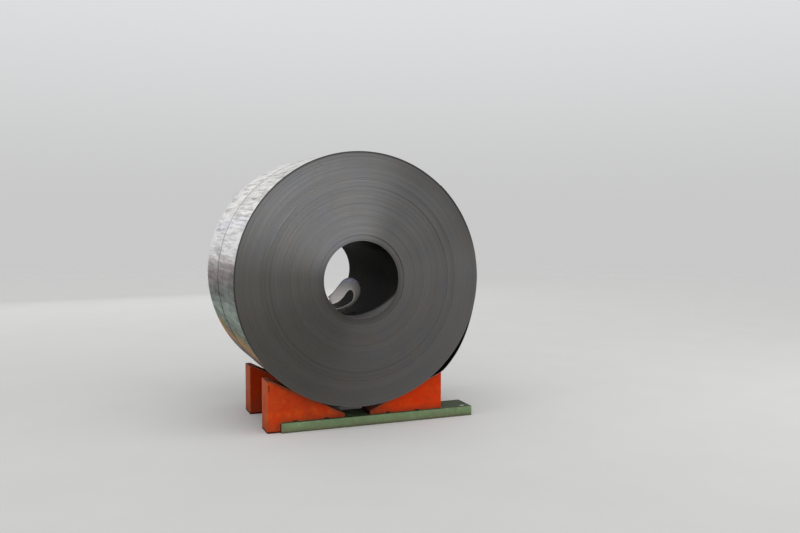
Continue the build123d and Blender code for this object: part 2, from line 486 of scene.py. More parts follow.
def bore_material(look):
    """The eye's wall: dark oiled strip, made darker still as painted shade, with soft streaks round it, and a painted
    pool of light low down inside its mouths.
    """
    made, tree, shader = material("eye_wall", look.bore_colour)
    point, _, y, z = place(tree)
    grain = use(tree, "mill_grain", Line_Scale=40, Patch_Scale=4)
    low = (AXIS_HEIGHT - z) / EYE_RADIUS
    inside = HALF_WIDTH - abs(y)
    # Painted light: a lighter band inside the mouths, reaching furthest in at the bottom
    mouth = span(inside - span(low, 0.25, 1, -0.02, look.lit_mouth_depth), -0.07, 0.02, 1, 0, smooth=True)
    oiled = blend(span(grain["Patches"], 0.42, 0.75), look.bore_colour, look.bore_colour_patch)
    base = blend(mouth, oiled, look.bore_colour_lit)
    waves = noise(stretched(point, 9, 1.5, 9), 1, 3)
    fill(shader, {
        "Base Color": tinted(base, varied(1, (grain["Lines"], 0.7))),
        "Metallic": span(mouth, 0, 1, 0.8, 0),
        "Specular IOR Level": 0.06, "Specular Tint": EYE_SHADE_TINT,
        "Roughness": span(grain["Lines"], 0.3, 0.7, 0.34, 0.5),
        "Normal": bump(grain["Lines"] * 0.1 + waves, 0.006, 0.4)})
    return made


def tail_material(name, colour, crest, metal):
    """Strip that stands free of the coil: painted shade darkens it away from the eye's mouth, and a painted bluish
    glint lies on its crest.
    """
    made, tree, shader = material(name, colour)
    point, _, y, z = place(tree)
    grain = use(tree, "mill_grain", Line_Scale=120, Patch_Scale=9)
    streak = noise(stretched(point, 30, 4, 90), 1, 3, 0.6)
    # Painted shade: darker deeper into the eye
    tone = varied(span(y, -0.60, -0.45, 1, 0.5), (grain["Lines"], 0.7))
    # Painted glint: a bluish streaked band along the crest
    top = span(z, AXIS_HEIGHT - 0.045, AXIS_HEIGHT - 0.01) * span(streak, 0.4, 0.62)
    within = span(z, AXIS_HEIGHT + 0.1, AXIS_HEIGHT + 0.2, 1, 0)
    fill(shader, {
        "Base Color": blend(top * within, tinted(colour, tone), crest),
        "Metallic": metal, "Specular IOR Level": 0.15,
        "Roughness": span(grain["Patches"], 0.3, 0.7, 0.36, 0.55),
        "Normal": bump(streak * 0.4 + grain["Patches"], 0.004, 0.5)})
    return made


def strap_material(name, colour, rough, metal):
    """Strapping steel: its finish rubbed along the edges, with long scratches, a painted highlight along its edges up
    high, and a painted reflection that is darker low down.
    """
    made, tree, shader = material(name, colour)
    z = place(tree)[3]
    wear = use(tree, "edge_wear", Width=0.003, Breakup=60, Amount=1)
    marks = use(tree, "scratches", Density=1, Size=2.2)
    grain = use(tree, "mill_grain", Line_Scale=900, Patch_Scale=26)
    # Painted highlight: the edges lighter towards the top
    rubbed = wear["Edge"] * span(z, 1.35, 1.7, 0, 0.8)
    bare = sums("MAXIMUM", sums("MAXIMUM", wear["Mask"], marks["Mask"]), rubbed)
    base = tinted(colour, varied(1, (grain["Patches"], 0.9)))
    fill(shader, {
        "Base Color": blend(bare, base, RUBBED_STEEL_AND_HIGHLIGHT), "Metallic": metal,
        # Painted reflection: the gleam's tint and the coat grow with height
        "Specular Tint": ramp(z, 0.6, 1.8, ((0.6, 0.3), (1.1, 0.3), (1.35, 0.95), (1.8, 1))),
        "Coat Weight": span(z, 1.2, 1.45), "Coat Roughness": 0.25,
        "Roughness": span(grain["Lines"], 0.3, 0.7, rough - 0.06, rough + 0.12),
        "Normal": bump(grain["Lines"], 0.0006, 0.4)})
    return made


def chock_material(look):
    """Thick gloss paint, faded in patches, chipped along its edges to primer and steel, dirty low down, with painted
    shade under the coil and on the rear chocks, a painted shadow along the bottom, and painted highlights along the
    edges.
    """
    made, tree, shader = material("chock_paint", look.paint)
    point, x, y, z = place(tree)
    wear = use(tree, "edge_wear", Width=0.010, Breakup=26, Amount=look.edge_wear)
    dirt = use(tree, "grime", Scale=7, Floor_Height=0.14, Corners=0.7, Amount=look.dirt)
    marks = use(tree, "scratches", Density=0.55, Size=0.8)
    fade = noise(point, 5.5, 5, 0.62, 0.5)
    rubbed = noise(point, 14, 4, 0.6, 0.3)
    deep = noise(point, 8, 4, 0.6, 0.6)
    outwards = abs(x)
    across, _, upwards = parts(facing(tree))

    paint = layered(
        look.paint,
        (span(fade, 0.36, 0.66), look.paint_faded),
        (span(rubbed, 0.48, 0.68, 0, 0.8), look.paint_orange),
        (span(deep, 0.54, 0.7, 0, 0.7), look.paint_deep),
        (span(x, 0.1, 0.4, 0, 0.55), look.paint_bright))
    # Painted shade on the rear chocks
    behind = span(y, 0, 0.12)
    paint = tinted(paint, tuple(span(behind, 0, 1, 1, look.rear_shade * share) for share in REAR_SHADE_TONES))

    # Painted shade under the coil: the tips darker, the rear ones most, in the dirt colour
    tip = span(outwards, 0.12, 0.3, 1, 0, smooth=True) * span(behind, 0, 1, 0.35, 0.9)
    under = outwards * SLOPE + SLOPE_START - z
    rub = span(under, 0.004, 0.03, 1, 0) * span(rubbed, 0.36, 0.58)
    chips = span(noise(point, 21, 5, 0.7), 0.685, 0.7)
    bare = sums("MAXIMUM", wear["Mask"], chips * look.chips).held()
    knock = sums("MAXIMUM", abs(x - CHIP_PLACE[0]) / CHIP_HALF[0], abs(z - CHIP_PLACE[1]) / CHIP_HALF[1])
    knock = span(rubbed * 0.8 + knock, 1.15, 1.55, 1, 0) * span(y, -0.512, -0.500, 0.75, 0)
    outside = span(across, -0.9, -0.6, 1, 0) * span(outwards, 0.2, 0.3)
    paint = layered(
        paint,
        (marks["Mask"] * 0.6, look.paint_pale),
        # Painted highlight along the edges
        (wear["Edge"] * 0.8, look.paint_pale),
        (tip, look.dirt_colour),
        (rub * 0.75, look.top_dirt),
        (bare, look.bare),
        (knock, look.chip_colour),
        (span(upwards, 0.5, 0.8) * span(fade, 0.3, 0.6, 0.75, 0.45), look.top_dirt),
        # Dust and painted light on the outer faces that face left
        (outside * span(fade, 0.3, 0.6, 0.65, 0.3), look.side_dust_and_light),
        (dirt["Mask"] * 0.75, look.dirt_colour),
        (dirt["Spots"] * 0.5, look.dirt_colour))
    # Painted shade on the tips' inner end faces, under the coil
    paint = tinted(paint, span(outwards, 0.102, 0.108, 0.1, 1))
    # Painted shadow along the bottom of the lugs
    paint = tinted(paint, span(rubbed * 0.004 + z, 0.011, 0.018, 0.12, 1))

    rough = dirt["Mask"] * 0.30 + span(fade, 0.3, 0.7, 0.42, 0.58)
    height = noise(point, 160) * 0.12 + fade * 0.5
    fill(shader, {
        "Base Color": paint, "Specular IOR Level": 0.05,
        "Roughness": (bare * 0.2 + rough).held(),
        "Normal": bump(bare * -0.4 + height, 0.002, 0.6, rounded(tree, CAD_EDGE))})
    return made


def bearer_material(look):
    """Pale green paint under brown dirt, black and oily on top, partly as painted shade, with a painted shadow along
    the bottom.
    """
    made, tree, shader = material("bearer_paint", look.paint)
    point, _, _, z = place(tree)
    wear = use(tree, "edge_wear", Width=0.006, Breakup=18, Amount=look.edge_wear)
    dirt = use(tree, "grime", Scale=4, Floor_Height=0.03, Corners=0.8, Amount=look.dirt)
    marks = use(tree, "scratches", Density=0.7, Size=0.7)
    fade = noise(point, 5, 6, 0.65, 0.3)
    rust = span(noise(point, 12, 6, 0.7), 0.6, 0.72)
    runs = span(noise(stretched(point, 9, 30, 44), 1, 6, 0.72), 0.56, 0.7) * span(fade, 0.4, 0.62, 1, 0.2)
    flakes = span(noise(point, 30, 5, 0.7, 0.4), 0.56, 0.64)
    bare = sums("MAXIMUM", wear["Mask"], marks["Mask"] * 0.6).held()
    # Upward faces darker: oily dirt, partly painted shade
    dirt_and_shade_on_top = span(parts(facing(tree))[2], 0.55, 0.9) * span(fade, 0.2, 0.75, 1, 0.72)
    paint = layered(
        look.paint,
        (span(fade, 0.36, 0.64), look.paint_faded),
        (rust * look.rust, look.rust_colour),
        (runs * 0.6, look.rust_colour),
        # Painted shadow along the bottom
        (span(fade * 0.008 + z, 0.013, 0.021, 0.95, 0), look.oily_dirt_and_shadow),
        (flakes * 0.45, look.paint_pale),
        (wear["Edge"] * 0.35, look.paint_faded),
        (bare, look.rust_colour),
        (dirt["Mask"] * 0.7, look.dirt_colour),
        (dirt_and_shade_on_top, look.oily_dirt_and_shadow))
    height = noise(point, 90, 3, 0.6) * 0.3 + fade
    fill(shader, {
        "Base Color": paint, "Specular IOR Level": 0.12,
        "Roughness": span(dirt["Mask"] + dirt_and_shade_on_top, 0, 1.2, 0.45, 0.72),
        "Normal": bump(bare * -0.4 + height, 0.0025, 0.5, rounded(tree, CAD_EDGE))})
    return made


# Meshes

def link(name, mesh):
    made = bpy.data.objects.new(name, mesh)
    bpy.context.scene.collection.objects.link(made)
    return made


def mesh_from(name, points, faces, slots=None, smooth=None):
    mesh = bpy.data.meshes.new(name)
    mesh.from_pydata(points, [], faces)
    if slots is not None:
        mesh.polygons.foreach_set("material_index", slots)
    if smooth is not None:
        mesh.polygons.foreach_set("use_smooth", smooth)
    mesh.validate()
    mesh.update()
    return mesh


def round_axis(radius, angle, along):
    """Points at a radius and an angle round the coil's axis, and at a place along it."""
    radius, angle, along = np.broadcast_arrays(radius, angle, along)
    return np.stack([radius * np.cos(angle), along, AXIS_HEIGHT + radius * np.sin(angle)], -1)


def end_profile(look):
    """Stations from the eye to the rim: radius and shift towards the rear, with a step between groups."""
    stations = []
    inner = EYE_RADIUS
    for outer, shift in TURN_GROUPS:
        pieces = max(1, round((outer - inner) / look.station_spacing))
        for i in range(pieces + 1):
            inset = 0.0003 if i == 0 else -0.0003 if i == pieces else 0.0
            stations.append((inner + (outer - inner) * i / pieces + inset, shift))
        inner = outer
    stations[0] = (EYE_RADIUS, stations[0][1])
    stations[-1] = (COIL_RADIUS, stations[-1][1])
    return np.array(stations)


def turn_radius(look, angle):
    """Radius of the outermost turn, which steps up by one turn where the strip ends and springs up a little."""
    back = (look.outer_end - angle) % FULL_TURN
    return COIL_RADIUS - look.turn_pitch * back / FULL_TURN + look.end_spring * np.exp(-back / 0.05)


def wrap_depth(look, angle, along):
    """How far the outer wrap lies inside its turn: broad flats, softened at the edges and under the strap."""
    rng = np.random.default_rng(look.seed)
    flats = sum(np.sin(k * angle + rng.uniform(0, 6.3) + rng.uniform(-0.9, 0.9) * along) / k ** 0.5
                for k in (5, 8, 13, 21, 34))
    share = np.clip(1 - np.abs(along) / HALF_WIDTH, 0, 1) ** 0.35
    strap = 1 - np.exp(-((along - STRAP_PLACE) / 0.05) ** 2)
    return look.swell_depth * np.clip(1 + 0.8 * flats, 0, 4) * (0.35 + 0.65 * share) * strap


def coil_mesh(look):
    """One closed skin: the front end, the outer wrap, the rear end and the eye's wall."""
    rng = np.random.default_rng(look.seed)
    angle = look.outer_end - np.linspace(FULL_TURN, 0, look.segments + 1)
    angle[0] += 1e-5
    start = look.outer_end - (look.outer_end - look.inner_end) % FULL_TURN
    angle = np.sort(np.append(angle, (start - 5e-6, start + 5e-6)))
    columns = len(angle)
    steps = {columns - 1, int(np.searchsorted(angle, start)) - 1}
    inner = EYE_RADIUS + look.turn_pitch * ((angle - look.inner_end) % FULL_TURN) / FULL_TURN
    outer = turn_radius(look, angle)
    waves = [(k, rng.uniform(0.4, 1.0) / k, rng.uniform(0, 6.3), rng.uniform(20, 70)) for k in (1, 2, 3, 5, 8)]
    ruffle = sum(np.sin(k * angle + rng.uniform(0, 6.3)) for k in (9, 14, 23, 37, 55)) * 0.2
    bent = np.exp(-((np.mod(angle - look.bent_place, FULL_TURN) - 0.15) / 0.14) ** 2) * np.sin(70 * angle)

    def end_rows(side):
        """Rings of one end, from the eye to the rim: radius, place along the axis, and material slot."""
        found = []
        for r, shift in end_profile(look):
            wander = sum(a * np.sin(k * angle + p + f * r) for k, a, p, f in waves)
            along = side * HALF_WIDTH + shift + look.wander * wander
            if r > COIL_RADIUS - RIM_WIDTH:
                along = along + look.ruffle * (ruffle + (bent if side > 0 else -0.4 * bent))
            found.append((np.full(columns, r), along, 0))
        found[0] = (inner, *found[0][1:])
        found[-1] = (outer, *found[-1][1:])
        return found

    def between(first, last, count):
        """Places along the axis that lead from one ring to another, without either."""
        return [first[1] * (1 - j / count) + last[1] * j / count for j in range(1, count)]

    front, rear = end_rows(-1), end_rows(1)[::-1]
    wrap = [(outer - wrap_depth(look, angle, along), along, 1) for along in between(front[-1], rear[0], look.wrap_rows)]
    bore = [(inner, along, 2) for along in between(rear[-1], front[0], look.bore_rows)]
    rows = front + wrap + rear + bore
    points = np.concatenate([round_axis(radius, angle, along) for radius, along, _ in rows])
    # Where the first and last columns meet, the ends have faces only on the rings where the radius steps
    closed = {0, len(front) - 2, len(front) + len(wrap), len(rows) - len(bore) - 2}
    faces, slots, smooth = [], [], []
    for j, row in enumerate(rows):
        n = (j + 1) % len(rows)
        slot = next((found for found in (1, 2) if found in (row[2], rows[n][2])), 0)
        for i in range(columns):
            k = (i + 1) % columns
            if k == 0 and slot == 0 and j not in closed:
                continue
            faces.append((j * columns + i, n * columns + i, n * columns + k, j * columns + k))
            slots.append(0 if i in steps else slot)
            smooth.append(slot != 0 and i not in steps)
    mesh = mesh_from("coil_wound", points.tolist(), faces, slots, smooth)
    shaped = bmesh.new()
    shaped.from_mesh(mesh)
    bmesh.ops.remove_doubles(shaped, verts=shaped.verts, dist=2e-5)
    shaped.to_mesh(mesh)
    shaped.free()
    mesh.set_sharp_from_angle(angle=SHARP)
    return mesh


def through(points, count):
    """A smooth line through a few points."""
    points = np.array(points, float)
    padded = np.vstack([2 * points[0] - points[1], points, 2 * points[-1] - points[-2]])
    found = []
    for t in np.linspace(0, len(points) - 1, count):
        i = min(int(t), len(points) - 2)
        u = t - i
        a, b, c, d = padded[i:i + 4]
        bend, twist = 2 * a - 5 * b + 4 * c - d, 3 * b - a - 3 * c + d
        found.append(0.5 * (2 * b + (c - a) * u + bend * u * u + twist * u ** 3))
    return np.array(found)


def sheet_mesh(name, edges, thickness):
    """A thin curved sheet between two or more lines of equal count, with its cut edges."""
    grid = np.array(edges)
    across = np.gradient(grid, axis=0)
    along = np.gradient(grid, axis=1)
    normal = np.cross(along, across)
    normal /= np.maximum(np.linalg.norm(normal, axis=2, keepdims=True), 1e-9)
    points = np.concatenate([(grid + side * normal * thickness / 2).reshape(-1, 3) for side in (1, -1)])
    m, n = grid.shape[:2]
    number = np.arange(2 * m * n).reshape(2, m, n)
    faces = []
    for i in range(m - 1):
        for j in range(n - 1):
            front, back = (found[i:i + 2, j:j + 2] for found in number)
            faces.append((front[0, 0], front[0, 1], front[1, 1], front[1, 0]))
            faces.append((back[0, 0], back[1, 0], back[1, 1], back[0, 1]))
    flat = len(faces)
    front, back = (np.concatenate([found[0], found[1:, -1], found[-1, -2::-1], found[-2:0:-1, 0]]) for found in number)
    for a, b, c, d in zip(front, back, np.roll(back, -1), np.roll(front, -1)):
        faces.append((a, b, c, d))
    slots = [i % 2 if i < flat else 0 for i in range(len(faces))]
    return mesh_from(name, points.tolist(), np.array(faces).tolist(), slots, [i < flat for i in range(len(faces))])


def tail_mesh():
    """The strip's loose inner end, curled over inside the eye."""
    along, across = TAIL_STEPS
    far, near = through(TAIL_FAR, along), through(TAIL_NEAR, along)
    lines = [near * (1 - share) + far * share for share in np.linspace(0, 1, across)]
    return sheet_mesh("inner_end", lines, STRIP_THICKNESS)


def slack_mesh(look):
    """Slack in the outermost turn, which stands off the coil over the right chocks at the front end."""
    peak = look.slack_place
    top, foot = peak + math.radians(SLACK_ENDS[0]), peak - math.radians(SLACK_ENDS[1])
    angle = np.linspace(top, foot - 0.03, SLACK_STEPS[0])
    share = np.where(angle > peak, (top - angle) / (top - peak), (angle - foot) / (peak - foot))
    swell = 0.5 - 0.5 * np.cos(np.pi * np.clip(share, 0, 1))
    reach = STRAP_LOW.y - SLACK_CLEAR_OF_STRAP - FRONT
    lines = []
    for along in np.linspace(0.0015, reach, SLACK_STEPS[1]):
        fade = 0.5 + 0.5 * math.cos(math.pi * along / reach)
        radius = turn_radius(look, angle) - wrap_depth(look, angle, FRONT + along) - SLACK_SINK
        lines.append(round_axis(radius + look.slack_height * swell * fade, angle, FRONT + along))
    return sheet_mesh("slack_turn", lines, STRIP_THICKNESS)


def sliver_mesh():
    """Two slivers of the rear edge, torn up from the outer wrap, in one mesh."""
    both = bmesh.new()
    share = np.linspace(0, 1, 14)
    for start, turn, rise, width in SLIVERS:
        half = width * (1 - share) ** 0.6 + 0.001
        middle = HALF_WIDTH - 0.012 + 0.006 * np.sin(5 * share)
        angle = np.radians(start + turn * share)
        lines = [round_axis(COIL_RADIUS - 0.003 + rise * share ** 1.5 + side * half * 0.3, angle, middle + side * half)
                 for side in (-1, 1)]
        one = sheet_mesh("sliver", lines, SLIVER_THICKNESS)
        both.from_mesh(one)
        bpy.data.meshes.remove(one)
    mesh = bpy.data.meshes.new("edge_sliver")
    both.to_mesh(mesh)
    both.free()
    return mesh


def strap_mesh(look):
    """The strap, laid on the outer wrap and lifted over the strip's end, with rounded edges."""
    columns = 240
    angle = np.linspace(0, FULL_TURN, columns, endpoint=False)
    lift = np.array([turn_radius(look, a + np.linspace(-0.05, 0.05, 9)).max() for a in angle]) - COIL_RADIUS
    for _ in range(6):
        lift = np.maximum(lift, (np.roll(lift, 1) + np.roll(lift, -1)) / 2)
    thick = STRAP_OUTER - STRAP_INNER
    soft = thick * 0.35
    half = STRAP_HALF
    section = ((-half, 0.0), (half, 0.0), (half, thick - soft), (half - soft, thick), (half * 0.5, thick),
               (0.0, thick), (-half * 0.5, thick), (soft - half, thick), (-half, thick - soft))
    sway = 0.0015 * np.sin(2 * angle + 1.0) + 0.001 * np.sin(5 * angle)
    points = np.concatenate([round_axis(STRAP_INNER + lift + up, angle, STRAP_PLACE + across + sway)
                             for across, up in section])
    number = np.arange(len(section) * columns).reshape(len(section), columns)
    across, round_it = np.roll(number, -1, 0), np.roll(number, -1, 1)
    faces = np.stack([number, round_it, np.roll(across, -1, 1), across], -1).reshape(-1, 4)
    mesh = mesh_from("strap_band", points.tolist(), faces.tolist(), None, [True] * len(faces))
    mesh.set_sharp_from_angle(angle=SHARP)
    return mesh


# What a user would change

def colour_prop(name, about, default):
    return bpy.props.FloatVectorProperty(name=name, description=about, default=default, subtype="COLOR", min=0, max=1)


def length_prop(name, about, default, low=0.0):
    return bpy.props.FloatProperty(name=name, description=about, default=default, unit="LENGTH", min=low, precision=4)


def angle_prop(name, about, degrees):
    return bpy.props.FloatProperty(name=name, description=about, default=math.radians(degrees), subtype="ANGLE")


def share_prop(name, about, default):
    return bpy.props.FloatProperty(name=name, description=about, default=default, subtype="FACTOR", min=0, max=1)


def number_prop(name, about, default, subtype="NONE"):
    return bpy.props.FloatProperty(name=name, description=about, default=default, subtype=subtype, min=0)


def count_prop(name, about, default, low, high):
    return bpy.props.IntProperty(name=name, description=about, default=default, min=low, max=high)


class CoilLook(bpy.types.PropertyGroup):
    segments: count_prop("Segments", "Steps round the coil", 288, low=48, high=512)
    station_spacing: length_prop("Station Spacing", "Largest radial step on the ends", 0.012, low=0.004)
    wrap_rows: count_prop("Wrap Rows", "Steps along the outer wrap", 40, low=8, high=120)
    bore_rows: count_prop("Eye Rows", "Steps along the eye's wall", 16, low=4, high=60)
    seed: bpy.props.IntProperty(name="Seed", description="Seed of the winding's irregularities", default=7)
    end_spring: length_prop("End Spring", "How far the strip's outer end springs up", 0.0014)
    turn_pitch: length_prop("Turn Pitch", "Strip thickness with the air between turns", 0.0019, low=0.0005)
    outer_end: angle_prop("Outer End", "Where the strip ends on the outside", 48)
    inner_end: angle_prop("Inner End", "Where the strip begins in the eye", 224)
    bent_place: angle_prop("Bent Edge", "Where the outer turn's edge is knocked about", 126)
    slack_height: length_prop("Slack Height", "How far the outermost turn's slack stands off", 0.0355)
    slack_place: angle_prop("Slack Place", "Where the outermost turn stands off furthest", -46)
    # The slack turn's underside: near-black painted shade in the gap
    slack_underside_shade: colour_prop("Slack Underside", "Oily underside of the slack turn", (0.006, 0.0055, 0.005))
    wander: length_prop("Wander", "How far a turn strays along the axis on its way round", 0.0004)
    ruffle: length_prop("Ruffle", "How uneven the outermost turn's edge is", 0.0012)
    swell_depth: length_prop("Swell Depth", "Depth of the shallow flats", 0.0008)
    # The side of the ends that is painted lighter, as painted light
    lit_side: angle_prop("Clean Side", "Direction in which the ends are cleanest", 118)
    edge_lean: share_prop("Edge Lean", "How far the sheared edges lean outwards", 0.35)
    ring_contrast: share_prop("Ring Contrast", "How strongly rings of turns differ", 0.41)
    bright_metal: share_prop("Bright Metal", "How metallic the clean wrap is", 0.96)
    dull_metal: share_prop("Dull Metal", "How metallic the oiled wrap is", 0.8)
    streaks: number_prop("Streaks", "How strongly creases show along the coil", 2.6)
    edge_gleam: number_prop("Edge Gleam", "How much the rear edge gleams", 1.4)
    # The ends' colours are a lit copy and two shaded copies, painted light and painted shade; after them, how far
    # painted shade darkens the upper right and lower left
    end_colour_lit: colour_prop("End Colour", "Sheared edges near the top", (0.16, 0.16, 0.16))
    end_colour_shaded_side: colour_prop("End Colour Side", "Sheared edges on the other side", (0.1, 0.097, 0.094))
    end_colour_shaded_low: colour_prop("End Colour Low", "Sheared edges near the bottom", (0.08, 0.077, 0.069))
    side_shade: share_prop("Dull Sides", "How dark the ends are to the upper right and lower left", 0.84)
    outer_shade: share_prop("Dull Rim", "How dark the outermost turns' edges are to the upper right", 0.84)
    end_stain: colour_prop("End Stain", "Oil and dust on the sheared edges", (0.09, 0.08, 0.07))
    wrap_colour: colour_prop("Wrap Colour", "Bare strip near the top", (0.6, 0.598, 0.595))
    # The strip low down, darker as painted shade
    wrap_colour_shaded_low: colour_prop("Wrap Colour Low", "Oiled strip near the bottom", (0.42, 0.425, 0.42))
    wrap_film: colour_prop("Wrap Film", "Film of oil on the strip", (0.3, 0.295, 0.315))
    # The eye's wall: dark oiled strip made darker still as painted shade, thinner oil in patches, and a painted pool of
    # light in the mouths
    bore_colour: colour_prop("Eye Colour", "The eye's wall", (0.022, 0.02, 0.017))
    bore_colour_patch: colour_prop("Eye Patches", "Thinner oil on the eye's wall", (0.05, 0.045, 0.04))
    bore_colour_lit: colour_prop("Eye Colour Light", "Cleaner strip inside the mouths", (0.105, 0.098, 0.098))
    lit_mouth_depth: length_prop("Mouth Depth", "How far in the cleaner strip reaches at the bottom", 0.26)
    # The loose inner end: a lit copy and a shaded copy of one strip, painted light and painted shade, and a painted
    # glint on its crest
    tail_colour_lit: colour_prop("Inner End Colour", "The loose inner end's clean side", (0.33, 0.315, 0.3))
    tail_crest_glint: colour_prop("Inner End Crest", "Blue film on the inner end's crest", (0.26, 0.28, 0.44))
    tail_back_shaded: colour_prop("Inner End Back", "The loose inner end's oiled side", (0.11, 0.112, 0.092))


class StrapLook(bpy.types.PropertyGroup):
    strap_colour: colour_prop("Strap Colour", "Blued strapping steel", (0.1, 0.092, 0.092))
    seal_colour: colour_prop("Seal Colour", "Galvanised seal", (0.42, 0.42, 0.43))


class ChockLook(bpy.types.PropertyGroup):
    paint: colour_prop("Paint", "Orange-red paint", (0.5, 0.034, 0.0035))
    paint_faded: colour_prop("Faded Paint", "Paint where it has faded", (0.46, 0.05, 0.009))
    paint_orange: colour_prop("Orange Paint", "Thin paint, more orange", (0.56, 0.078, 0.006))
    paint_deep: colour_prop("Deep Paint", "Thick paint, deeper red", (0.4, 0.024, 0.004))
    paint_bright: colour_prop("Bright Paint", "Fresher paint of the right chocks", (0.6, 0.03, 0.0005))
    # Painted shade on the rear chocks
    rear_shade: share_prop("Rear Darkness", "How light the rear chocks' dirtier paint is", 0.62)
    # Also the colour of the painted highlight along the edges
    paint_pale: colour_prop("Scuffed Paint", "Scuffs and edges", (0.56, 0.15, 0.065))
    top_dirt: colour_prop("Top Dirt", "Grease on the slope", (0.115, 0.06, 0.036))
    # Dust on the left faces, and painted light there
    side_dust_and_light: colour_prop("Side Dust", "Dust on the left faces", (0.34, 0.1, 0.026))
    bare: colour_prop("Bare", "Steel under chips", (0.045, 0.03, 0.024))
    # Also the colour of the painted shade under the coil at the tips
    dirt_colour: colour_prop("Dirt", "Dirt on the paint", (0.1, 0.035, 0.018))
    chip_colour: colour_prop("Chip", "Rusty knock beside the outer edge", (0.085, 0.022, 0.008))
    edge_wear: share_prop("Edge Wear", "How far edges are rubbed bare", 0.6)
    chips: share_prop("Chips", "Chips on the faces", 0.8)
    dirt: share_prop("Dirt Amount", "How dirty the chocks are", 0.5)


class BearerLook(bpy.types.PropertyGroup):
    paint: colour_prop("Paint", "Pale green paint", (0.115, 0.18, 0.085))
    paint_faded: colour_prop("Faded Paint", "Paint where it has faded", (0.16, 0.235, 0.12))
    paint_pale: colour_prop("Pale Flakes", "Chalky flakes of the paint", (0.26, 0.34, 0.2))
    dirt_colour: colour_prop("Dirt", "Brown dirt on the paint", (0.105, 0.09, 0.055))
    rust_colour: colour_prop("Rust", "Rust where paint is gone", (0.1, 0.055, 0.03))
    # Oily dirt on the top, also the colour of the painted shadow along the bottom
    oily_dirt_and_shadow: colour_prop("Top Dirt", "Oily dirt on the top", (0.036, 0.05, 0.026))
    edge_wear: share_prop("Edge Wear", "How far edges are rubbed", 0.6)
    dirt: share_prop("Dirt Amount", "How dirty the bearers are", 0.75)
    rust: share_prop("Rust Amount", "Rust spots", 0.5)


class StageLook(bpy.types.PropertyGroup):
    floor_radius: length_prop("Floor Radius", "Reach of the floor", 26.0)
    floor_colour: colour_prop("Floor Colour", "Pale floor", (0.6, 0.6, 0.595))
    backdrop: colour_prop("Backdrop", "What shows behind the floor", (0.74, 0.75, 0.76))
    backdrop_low: colour_prop("Backdrop Low", "Backdrop where the floor meets it", (0.58, 0.58, 0.58))
    overhead: colour_prop("Overhead", "Darker studio ceiling, seen only in bare metal", (0.36, 0.365, 0.37))
    ambient: number_prop("Ambient Light", "Light from all round", 0.5)
    key_power: number_prop("Key Strength", "Main soft light", 2.22)
    key_spread: angle_prop("Key Spread", "How wide the main light is", 130)
    fill_power: number_prop("Fill Power", "Fill lamp", 60.0, subtype="POWER")
    back_power: number_prop("Back Power", "Lamp behind, seen in the bare strip", 78.0, subtype="POWER")
    camera_place: bpy.props.FloatVectorProperty(
        name="Camera Place", description="Where the camera stands", default=(-2.0792, -6.6586, 1.7136),
        subtype="TRANSLATION", precision=4)
    camera_turn: bpy.props.FloatVectorProperty(
        name="Camera Turn", description="How the camera is turned", subtype="EULER",
        default=[math.radians(a) for a in (86.1277, -0.1545, -21.6526)])
    camera_lens: number_prop("Lens", "Focal length in mm on a 36 mm sensor", 36.941)


# Operators

class BuildCoil(bpy.types.Operator):
    """Build the wound coil with its ends, its outer wrap and its eye"""
    bl_idname = "steel_coil.build_coil"
    bl_label = "Build Coil"

    def execute(self, context):
        look = context.scene.coil_look
        made = link("coil_wound", coil_mesh(look))
        wrap = wrap_material(look)
        for slot in (coil_end_material(look), wrap, bore_material(look)):
            made.data.materials.append(slot)
        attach(made, "root")
        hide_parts("coil")
        # The inner end's two faces: clean is painted light, oiled is painted shade
        clean = tail_material("strip_lit_face", look.tail_colour_lit, look.tail_crest_glint, 0.35)
        oiled = tail_material("strip_shaded_face", look.tail_back_shaded, look.tail_back_shaded, 0.0)
        # under is the slack turn's underside, painted shade
        under = tail_material("strip_shaded", look.slack_underside_shade, look.slack_underside_shade, 0.0)
        for name, mesh, slots in (("inner_end", tail_mesh(), (clean, oiled)),
                                  ("edge_sliver", sliver_mesh(), (wrap, wrap)),
                                  ("slack_turn", slack_mesh(look), (wrap, under))):
            piece = link(name, mesh)
            for slot in slots:
                piece.data.materials.append(slot)
            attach(piece, "root")
        return {"FINISHED"}


class DressStrap(bpy.types.Operator):
    """Lay the strap round the coil and give it and its seal their steel"""
    bl_idname = "steel_coil.dress_strap"
    bl_label = "Dress Strap"

    def execute(self, context):
        look = context.scene.strap_look
        band = link("strap_band", strap_mesh(context.scene.coil_look))
        band.data.materials.append(strap_material("strap_steel", look.strap_colour, 0.36, 0.9))
        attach(band, "root")
        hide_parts("strap")
        dress("strap_seal", strap_material("seal_steel", look.seal_colour, 0.3, 0.9))
        return {"FINISHED"}


class DressChocks(bpy.types.Operator):
    """Paint the chocks"""
    bl_idname = "steel_coil.dress_chocks"
    bl_label = "Dress Chocks"

    def execute(self, context):
        paint = chock_material(context.scene.chock_look)
        for node in CHOCKS:
            dress(node, paint)
        return {"FINISHED"}


class DressBearers(bpy.types.Operator):
    """Paint the bearers"""
    bl_idname = "steel_coil.dress_bearers"
    bl_label = "Dress Bearers"

    def execute(self, context):
        paint = bearer_material(context.scene.bearer_look)
        for node in BEARERS:
            dress(node, paint)
        return {"FINISHED"}


def dress(node, paint):
    """Give a carried-over node one material."""
    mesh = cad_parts[node].data
    mesh.materials.clear()
    mesh.materials.append(paint)


